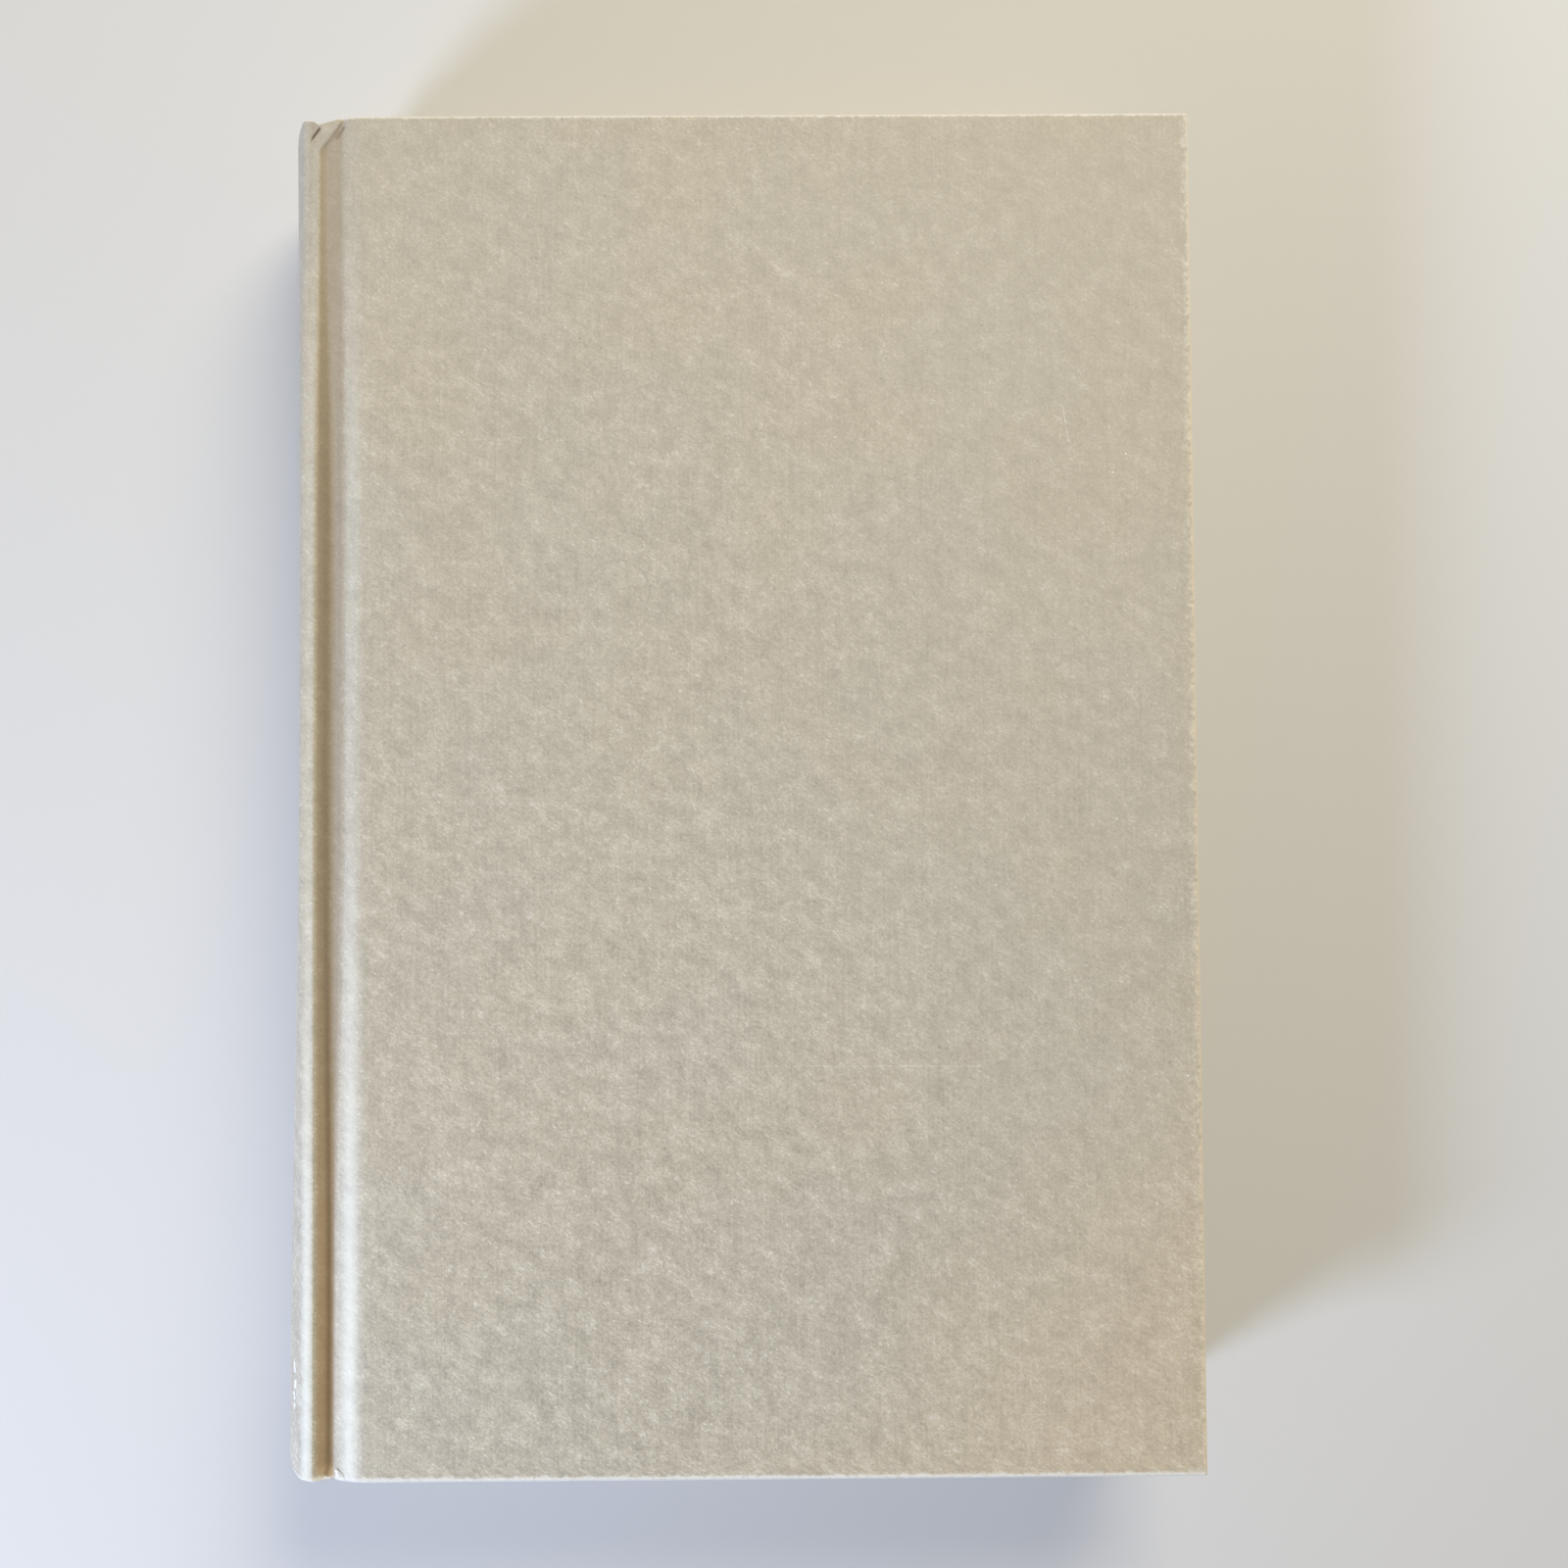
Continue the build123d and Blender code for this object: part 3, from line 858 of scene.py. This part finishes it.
class Paint(Nodes):
    def __init__(self, name, specular=0.4):
        self.material = bpy.data.materials.new(name)
        self.material.use_nodes = True
        super().__init__(self.material.node_tree)
        self.shader = self.tree.nodes["Principled BSDF"]
        self.shader.inputs["Specular IOR Level"].default_value = specular

    def field(self, name, output="Vector"):
        return self.node("ShaderNodeAttribute", {"attribute_name": name}, output=output)

    def vector(self, operation, *inputs, output=0):
        return self.node("ShaderNodeVectorMath", {"operation": operation}, dict(enumerate(inputs)), output)

    def scaled(self, value, amount):
        return self.node("ShaderNodeVectorMath", {"operation": "SCALE"}, {0: value, "Scale": amount})

    def parts(self, value):
        split = self.node("ShaderNodeSeparateXYZ", inputs={0: value}).socket.node
        return [Wire(self, socket) for socket in split.outputs]

    def solid(self):
        # Places in the piece itself, in millimetres.
        return self.scaled(self.node("ShaderNodeTexCoord", output="Object"), 1 / mm)

    def streaks(self, place, sizes, detail=2.0, roughness=0.5):
        # Noise whose lumps have their own size along each axis.
        scaled = self.vector("MULTIPLY", place, [1 / size for size in sizes])
        settings = {"Vector": scaled, "Scale": 1.0, "Detail": detail, "Roughness": roughness}
        return self.node("ShaderNodeTexNoise", {}, settings)

    def cloud(self, place, size, detail=3.0, roughness=0.5, shift=0.0, turn=0.0, stretch=1.0):
        # Noise whose lumps are size across and stretch times as long, turned in the plane of the sheet.
        rotation = {"Vector": place, "Angle": math.radians(turn)}
        turned = self.node("ShaderNodeVectorRotate", {"rotation_type": "Z_AXIS"}, rotation)
        moved = self.vector("ADD", turned, (shift * 7, shift * 5, shift * 3))
        return self.streaks(moved, (size * stretch, size, size), detail, roughness)

    def cells(self, place, scale):
        settings = {"Vector": place, "Scale": scale, "Randomness": 1.0}
        return self.node("ShaderNodeTexVoronoi", {"feature": "F1"}, settings)

    def between(self, value, low, high):
        limits = {"Value": value, "From Min": low, "From Max": high}
        return self.node("ShaderNodeMapRange", {"interpolation_type": "SMOOTHSTEP"}, limits)

    def ramp(self, value, low, high, atLow, atHigh):
        limits = {"Value": value, "From Min": low, "From Max": high, "To Min": atLow, "To Max": atHigh}
        return self.node("ShaderNodeMapRange", {}, limits)

    def reach(self, place, start, end):
        # How far each place lies from the line between start and end.
        start, run = Vector(start), Vector(end) - Vector(start)
        gone = self.vector("SUBTRACT", place, start)
        if run.length:
            along = self.vector("DOT_PRODUCT", gone, run / run.length_squared, output=1)
            along = self.node("ShaderNodeClamp", {}, {0: along})
            gone = self.vector("SUBTRACT", gone, self.scaled(run, along))
        return self.vector("LENGTH", gone, output=1)

    def mix(self, share, a, b):
        return self.node("ShaderNodeMix", {"data_type": "RGBA"}, {0: share, 6: a, 7: b}, output=2)

    def finish(self, color, roughness, height=None, bump=None):
        self.feed(self.shader.inputs["Base Color"], color)
        self.feed(self.shader.inputs["Roughness"], roughness)
        if bump:
            relief = {"Height": height, "Distance": bump[0] * mm, "Strength": bump[1]}
            self.feed(self.shader.inputs["Normal"], self.node("ShaderNodeBump", {}, relief))
        return self.material


def sheetAt(x, y):
    # The place on the flat sheet of the covering paper above a place in the closed book.
    section = sectionAt(y)
    return float(np.interp(x, section[:, 0], runOf(section))), y, 0.0


coverLook = {
    "color": (0.527, 0.471, 0.371, 1),
    "cool": (0.521, 0.471, 0.379, 1),
    "warm": (0.536, 0.470, 0.362, 1),
    # painted light: warmer tone toward the lower right corner of the sheet, where less cool light falls
    "warmLightTint": (0.585, 0.493, 0.360, 1),
    "fibre": (0.76, 0.725, 0.64, 1),
    # darker tone for painted shade in dents and pits, and for the stain of the ring
    "shadeAndStain": (0.33, 0.295, 0.225, 1),
    # lighter tone for scratches, lint, and the edges' rubbing with painted highlight; the warm one for the
    # fore-edge's rubbing with painted highlight
    "lightened": (0.86, 0.84, 0.78, 1),
    "foreRubAndSheen": (0.90, 0.78, 0.60, 1),
    # tones of the joint's dirt with painted shade, toward the tail and toward the head; then its darker line
    # of painted shade and its light bands of burnished paper with painted highlight
    "grimeAndShade": (0.45, 0.305, 0.16, 1),
    "dustAndShade": (0.35, 0.265, 0.17, 1),
    "line": (0.14, 0.095, 0.05, 1),
    "burnishAndHighlight": (0.90, 0.90, 0.81, 1),
    # painted shade in the folds at the spine's ends
    "creaseShade": (0.085, 0.06, 0.035, 1),
    "bare": (0.90, 0.90, 0.88, 1),
    # size, detail, roughness, shift, turn in degrees and stretch
    "clouds": {
        "tint": (30, 2, 0.5, 3),
        "warmth": (45, 2, 0.5, 17),
        "pressed": (3.1, 4, 0.85, 5, 36, 1.5),
        "grain": (0.42, 1, 0.9, 61, 36, 1.4),
        "drawn": (0.33, 0, 0.5, 71, 90, 30),
        "dents": (0.5, 1, 0.7, 55, 36, 1.6),
        "pitted": (9, 1, 0.5, 81),
        "linty": (12, 1, 0.5, 83),
        "wearSheenNoise": (1.1, 3, 0.7, 91),
    },
    # where on the sheet the relief is stronger or weaker
    "busyAlong": (-110, 110, 1.45, 0.75),
    "busyAcross": (80, 165),
    "busyLoss": 0.28,
    "tintRange": (0.38, 0.66),
    "warmRange": (0.46, 0.72),
    "warmShare": 0.5,
    "warmLightTintRange": (190, 290),
    "mottling": 0.62,
    "grain": 0.46,
    "lines": 0.12,
    # single fibres: turn, size, stretch, shift and strength
    "fibres": [(34, 0.36, 3.2, 21, 0.60), (55, 0.30, 3.6, 33, 0.45), (6, 0.30, 3.2, 47, 0.38)],
    "fibreRange": (0.63, 0.76),
    "dentRange": (0.64, 0.78),
    "dentShare": 0.32,
    "pitScale": 0.3,
    "pitSize": (0.03, 0.09),
    "pitRange": (0.5, 0.6),
    "pitShare": 0.6,
    "lintScale": 0.13,
    "lintSize": (0.014, 0.03),
    "lintRange": (60, 190),
    "lintSpread": 60,
    # folds in the paper at the ends of the spine, painted dark as shade in the fold: start, end, half width,
    # strength
    "creases": [((-75.5, 117.2), (-74.4, 118.7), 0.19, 0.85), ((-75.8, 116.6), (-74.2, 119.0), 0.09, 0.6),
                ((-71.3, 117.3), (-70.1, 119.0), 0.24, 0.5),
                ((-70.6, -118.8), (-69.2, -120.3), 0.14, 0.8)],
    # places where the surface is chipped off: start, end, half width
    "chips": [((-78.9, -101.2), (-78.8, -102.4), 0.42), ((-78.6, -104.3), (-78.7, -105.2), 0.36),
              ((-79.0, -106.6), (-78.9, -107.2), 0.34), ((-78.8, -108.4), (-78.9, -108.8), 0.30),
              ((-71.1, -119.3), (-70.9, -120.0), 0.26)],
    # faint light marks of use: start, end, half width, strength
    "scratches": [((4.5, -49.0), (42.5, -49.3), 0.10, 0.30), ((58.5, 68.0), (59.4, 61.5), 0.12, 0.35),
                  ((-61.0, -73.0), (-38.0, -71.5), 0.08, 0.16), ((20.0, 88.0), (33.0, 91.0), 0.08, 0.14)],
    # the faint dark ring that something left: centre, radius, half width, strength
    "ring": ((-21.0, 35.0), 5.6, 0.16, 0.5),
    "paleShare": (0.45, 0.5),
    "soilShadeTurn": (-105, -10),
    "soilShadeShare": 0.72,
    "lineShare": 0.55,
    "wearSheenRange": (0.72, 1.2),
    "wearSheenShare": 0.85,
    "foreEdge": (173.4, 174.4),
    # height and strength of the relief
    "bump": (0.05, 0.5),
}


def coverPaint():
    look = coverLook
    paint = Paint("greyCoverPaper", 0.35)
    sheet = paint.field("sheet")
    rubAndSheen = paint.field("rubAndSheen", "Fac")
    soilAndShade, line, burnishAndHighlight = paint.parts(paint.field("groove"))
    across, down, _ = paint.parts(sheet)
    clouds = [paint.cloud(sheet, *numbers) for numbers in look["clouds"].values()]
    tint, warmth, pressed, grain, drawn, dents, pitted, linty, wearSheenNoise = clouds
    busy = paint.ramp(down, *look["busyAlong"])
    busy = busy * (1 - look["busyLoss"] * paint.between(across, *look["busyAcross"]))

    color = paint.mix(paint.between(tint, *look["tintRange"]), look["cool"], look["color"])
    color = paint.mix(paint.between(warmth, *look["warmRange"]) * look["warmShare"], color, look["warm"])
    # painted light: warmer toward the lower right corner
    color = paint.mix(paint.between(across - down, *look["warmLightTintRange"]), color, look["warmLightTint"])

    # pressed fibres: soft clouds, long drawn the way that the sheet was made, down to the grain
    shade = (pressed - 0.5) * look["mottling"] + (grain - 0.5) * look["grain"]
    shade = 1 + (shade + (drawn - 0.5) * look["lines"]) * busy
    color = paint.scaled(color, shade)
    height = pressed * 0.5 + grain * 0.25

    # single fibres that lie on the sheet, and small dents beside them painted darker as shade
    for turn, size, stretch, shift, strength in look["fibres"]:
        fibre = paint.cloud(sheet, size, 1, 0.6, shift, turn, stretch) + (pressed - 0.5) * 0.5
        fibre = paint.between(fibre, *look["fibreRange"])
        color = paint.mix(fibre * strength * busy, color, look["fibre"])
        height = height + fibre * 0.35
    dent = paint.between(dents, *look["dentRange"])
    color = paint.mix(dent * look["dentShare"] * busy, color, look["shadeAndStain"])

    # small pits painted dark as shade, and lint caught on the surface near the fore-edge
    pit = 1 - paint.between(paint.cells(sheet, look["pitScale"]), *look["pitSize"])
    pit = pit * paint.between(pitted, *look["pitRange"])
    color = paint.mix(pit * look["pitShare"], color, look["shadeAndStain"])
    speck = 1 - paint.between(paint.cells(sheet, look["lintScale"]), *look["lintSize"])
    speck = speck * paint.between(across + linty * look["lintSpread"], *look["lintRange"])
    color = paint.mix(speck, color, look["lightened"])
    height = height - pit * 0.6 - dent * 0.3

    for start, end, width, strength in look["scratches"]:
        gap = paint.reach(sheet, sheetAt(*start), sheetAt(*end))
        near = 1 - paint.between(gap, width * 0.4, width * 1.6)
        color = paint.mix(near * strength * paint.between(pressed, 0.35, 0.6), color, look["lightened"])
    centre, radius, width, strength = look["ring"]
    ring = (paint.reach(sheet, sheetAt(*centre), sheetAt(*centre)) - radius).maths("ABSOLUTE")
    near = (1 - paint.between(ring, width * 0.4, width * 2)) * paint.between(pressed, 0.45, 0.62)
    color = paint.mix(near * strength, color, look["shadeAndStain"])
    # folds painted dark as shade, and sunk in the relief
    for start, end, width, strength in look["creases"]:
        gap = paint.reach(sheet, sheetAt(*start), sheetAt(*end))
        near = 1 - paint.between(gap, width * 0.3, width * 2.2)
        color = paint.mix(near * strength, color, look["creaseShade"])
        height = height - near * 4
    for start, end, width in look["chips"]:
        ragged = paint.reach(sheet, sheetAt(*start), sheetAt(*end)) + (grain - 0.5) * 1.2
        color = paint.mix(1 - paint.between(ragged, width * 0.6, width * 1.2), color, look["bare"])

    # dirt and painted shade in the joint, its darker line of painted shade and its light bands of burnished
    # paper with painted highlight, then rubbing and painted highlight where the sheet folds over an edge
    least, more = look["paleShare"]
    color = paint.mix(burnishAndHighlight * (least + more * pressed), color, look["burnishAndHighlight"])
    soilShadeTone = paint.mix(paint.between(down, *look["soilShadeTurn"]), look["grimeAndShade"], look["dustAndShade"])
    color = paint.mix(soilAndShade * look["soilShadeShare"], color, soilShadeTone)
    color = paint.mix(line * soilAndShade * look["lineShare"], color, look["line"])
    wornAndLit = paint.between(rubAndSheen * 0.9 + wearSheenNoise * 0.9, *look["wearSheenRange"])
    rubAndSheenTone = paint.mix(paint.between(across, *look["foreEdge"]), look["lightened"], look["foreRubAndSheen"])
    color = paint.mix(wornAndLit * look["wearSheenShare"], color, rubAndSheenTone)
    return paint.finish(color, 0.58 + 0.14 * pressed + 0.08 * wornAndLit, height, look["bump"])


def plainPaint(look):
    # Tones laid over a first colour, each by its own noise, and relief and roughness from the same noises.
    paint = Paint(look["name"], look["specular"])
    place = paint.field(look["field"]) if "field" in look else paint.solid()
    parts = {}
    for part, numbers in look["noises"].items():
        bySize = paint.streaks if isinstance(numbers[0], tuple) else paint.cloud
        parts[part] = bySize(place, *numbers)
    if "weave" in look:
        weave = {"Vector": place, **look["weave"]}
        settings = ({"bands_direction": axis, "wave_profile": "SIN"} for axis in "XY")
        across, along = (paint.node("ShaderNodeTexWave", threads, weave) for threads in settings)
        parts["weave"] = across.maths("MAXIMUM", along)
    color = look["color"]
    for part, low, high, share, tone in look["tones"]:
        parts[part + "Marks"] = paint.between(parts[part], low, high)
        color = paint.mix(parts[part + "Marks"].times(share), color, tone)
    base, more, part = look["rough"]
    heights = [parts[part].times(amount) for part, amount in look["height"].items()]
    return paint.finish(color, base + more * parts[part], sum(heights[1:], heights[0]), look["bump"])


# Noises are clouds, or streaks where the first value has a size for each axis. A tone has its noise, the two
# values that it lies between, and its share; its marks can be used for roughness and height too.
leafLook = {
    "name": "cutPageEdges",
    "specular": 0.25,
    "field": "leaf",
    "noises": {"fine": ((0.1, 60, 60), 2), "coarse": ((0.75, 90, 90), 3), "mottle": (7, 3, 0.5, 4)},
    "color": (0.60, 0.55, 0.45, 1),
    "tones": [
        ("fine", 0.35, 0.68, 1, (0.83, 0.79, 0.69, 1)),
        ("coarse", 0.4, 0.7, 0.45, (0.70, 0.64, 0.52, 1)),
        ("mottle", 0.45, 0.8, 0.2, (0.66, 0.58, 0.44, 1)),
    ],
    "rough": (0.76, 0.12, "coarse"),
    "height": {"fine": 0.7, "coarse": 0.5},
    "bump": (0.06, 0.7),
}
endpaperLook = {
    "name": "endpaperSheet",
    "specular": 0.3,
    "field": "sheet",
    "noises": {
        "pressed": (5, 4, 0.6, 2, 20, 1.5),
        "fibre": (0.2, 1.5, 0.5, 9, 35, 9),
        "grain": (0.3, 2, 0.6, 13),
    },
    "color": (0.80, 0.77, 0.685, 1),
    "tones": [
        ("pressed", 0.35, 0.7, 1, (0.86, 0.83, 0.755, 1)),
        ("fibre", 0.62, 0.78, 0.25, (0.70, 0.65, 0.55, 1)),
    ],
    "rough": (0.70, 0.1, "pressed"),
    "height": {"pressed": 0.4, "fibreMarks": 0.5, "grain": 0.4},
    "bump": (0.03, 0.5),
}
boardLook = {
    "name": "greyBoard",
    "specular": 0.25,
    "noises": {"speck": (0.5, 3, 0.65, 3), "layers": ((30, 30, 0.35), 2)},
    "color": (0.36, 0.33, 0.285, 1),
    "tones": [
        ("layers", 0.3, 0.7, 1, (0.46, 0.43, 0.375, 1)),
        ("speck", 0.5, 0.75, 0.5, (0.26, 0.235, 0.20, 1)),
    ],
    "rough": (0.80, 0.1, "speckMarks"),
    "height": {"speckMarks": 0.6, "layers": 0.5},
    "bump": (0.06, 0.6),
}
kraftLook = {
    "name": "kraftLining",
    "specular": 0.3,
    "noises": {"fibre": ((0.3, 4, 0.3), 3), "pressed": (4, 4, 0.6, 5)},
    "color": (0.42, 0.30, 0.185, 1),
    "tones": [
        ("pressed", 0.3, 0.7, 1, (0.50, 0.375, 0.245, 1)),
        ("fibre", 0.5, 0.75, 0.35, (0.32, 0.215, 0.125, 1)),
    ],
    "rough": (0.74, 0.1, "pressed"),
    "height": {"fibre": 0.6, "pressed": 0.4},
    "bump": (0.04, 0.5),
}
clothLook = {
    "name": "openWeaveCloth",
    "specular": 0.2,
    "field": "sheet",
    "weave": {"Scale": 0.36, "Distortion": 0.6, "Detail": 1.0},
    "noises": {"uneven": (1.2, 3, 0.6, 8)},
    "color": (0.50, 0.45, 0.36, 1),
    "tones": [
        ("weave", 0.45, 0.8, 1, (0.80, 0.77, 0.70, 1)),
        ("uneven", 0.45, 0.8, 0.3, (0.62, 0.57, 0.48, 1)),
    ],
    "rough": (0.78, 0.14, "uneven"),
    "height": {"weaveMarks": 1, "uneven": 0.3},
    "bump": (0.08, 0.7),
}
bandLook = {
    "name": "sewnBandThread",
    "specular": 0.35,
    "field": "wrap",
    "noises": {"twist": ((0.16, 1.2, 50), 2), "stain": (6, 3, 0.5, 6)},
    "color": (0.66, 0.62, 0.53, 1),
    "tones": [
        ("twist", 0.3, 0.7, 1, (0.84, 0.81, 0.73, 1)),
        ("stain", 0.45, 0.8, 0.25, (0.60, 0.54, 0.43, 1)),
    ],
    "rough": (0.55, 0.15, "twist"),
    "height": {"twist": 1},
    "bump": (0.05, 0.6),
}


def dress(piece, material):
    piece.data.materials.clear()
    piece.data.materials.append(material)


coverMade = coverPaint()
endpaperMade, boardMade, clothMade, bandMade = map(plainPaint, (endpaperLook, boardLook, clothLook, bandLook))
for piece in (coverFront, coverBack):
    dress(piece, coverMade)
dress(leafBlock, plainPaint(leafLook))
for flyleaf, pastedown, cloth in sheets.values():
    dress(flyleaf, endpaperMade)
    dress(pastedown, endpaperMade)
    dress(cloth, clothMade)
dress(spineCloth, clothMade)
for bead, tape in (headBand, tailBand):
    dress(bead, bandMade)
    dress(tape, clothMade)
dress(spineCard, boardMade)
for node in ("front_board", "back_board"):
    dress(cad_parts[node], boardMade)
dress(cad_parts["spine_lining"], plainPaint(kraftLook))
print("materials ready")

# Floor, light and camera

stage = {
    "floorSize": 3.0,
    "floorColor": (0.72, 0.71, 0.695, 1),
    "floorRoughness": 0.85,
    "floorFade": (230, 620),
    "worldColor": (1.0, 0.96, 0.87, 1),
    "worldStrength": 0.32,
    "backdropColor": (0.70, 0.69, 0.67, 1),
    # place, size, power, colour, spread in degrees
    "lamps": {
        "fill": ((0.3, 0.7, 0.6), 0.6, 3.53, (1.0, 0.935, 0.763), 130),
        "key": ((-0.58, -0.46, 0.35), 0.2, 2.60, (0.588, 0.711, 1.0), 120),
    },
    "cameraPlace": (0.007027, -0.007312, 0.290036),
    "cameraTurn": (1.75, -0.27, -0.363),
    "sensor": 36,
    "lensShare": 1500 / 1600,
    "clipStart": 0.01,
}

floorMesh = bpy.data.meshes.new("floor")
half = stage["floorSize"] / 2
corners = [(-half, -half, 0), (half, -half, 0), (half, half, 0), (-half, half, 0)]
floorMesh.from_pydata(corners, [], [(0, 1, 2, 3)])
floor = bpy.data.objects.new("floor", floorMesh)
bpy.context.scene.collection.objects.link(floor)


def floorPaint():
    # Far from the book the floor passes into the backdrop, for the camera only.
    paint = Paint("paleFloor")
    paint.finish(stage["floorColor"], stage["floorRoughness"])
    away = paint.vector("LENGTH", paint.solid(), output=1)
    share = paint.between(away, *stage["floorFade"]) * paint.seen()
    glow = paint.node("ShaderNodeEmission", {}, {"Color": stage["backdropColor"]})
    lit = Wire(paint, paint.shader.outputs[0])
    both = paint.node("ShaderNodeMixShader", {}, {0: share, 1: lit, 2: glow})
    paint.feed(paint.tree.nodes["Material Output"].inputs["Surface"], both)
    return paint.material


floorMesh.materials.append(floorPaint())


def softLamp(name, place, size, power, color, spreadAngle):
    lamp = bpy.data.lights.new(name, "AREA")
    lamp.shape = "DISK"
    lamp.size = size
    lamp.spread = math.radians(spreadAngle)
    lamp.energy = power
    lamp.color = color
    holder = bpy.data.objects.new(name, lamp)
    holder.location = place
    holder.rotation_euler = Vector(place).to_track_quat("Z", "Y").to_euler()
    holder.visible_camera = False
    bpy.context.scene.collection.objects.link(holder)


for name, settings in stage["lamps"].items():
    softLamp(name + "Lamp", *settings)

world = bpy.data.worlds.new("room")
world.use_nodes = True
room = Nodes(world.node_tree)
dome = world.node_tree.nodes["Background"]
dome.inputs["Color"].default_value = stage["worldColor"]
dome.inputs["Strength"].default_value = stage["worldStrength"]
backdrop = room.node("ShaderNodeBackground", {}, {"Color": stage["backdropColor"]})
both = room.node("ShaderNodeMixShader", {}, {0: room.seen(), 1: Wire(room, dome.outputs[0]), 2: backdrop})
room.feed(world.node_tree.nodes["World Output"].inputs["Surface"], both)
bpy.context.scene.world = world
bpy.context.scene.view_settings.view_transform = "Standard"

cameraData = bpy.data.cameras.new("camera")
cameraData.sensor_width = stage["sensor"]
cameraData.lens = stage["sensor"] * stage["lensShare"]
cameraData.clip_start = stage["clipStart"]
camera = bpy.data.objects.new("camera", cameraData)
camera.location = stage["cameraPlace"]
camera.rotation_euler = [math.radians(a) for a in stage["cameraTurn"]]
bpy.context.scene.collection.objects.link(camera)
bpy.context.scene.camera = camera
print("floor, light and camera ready")
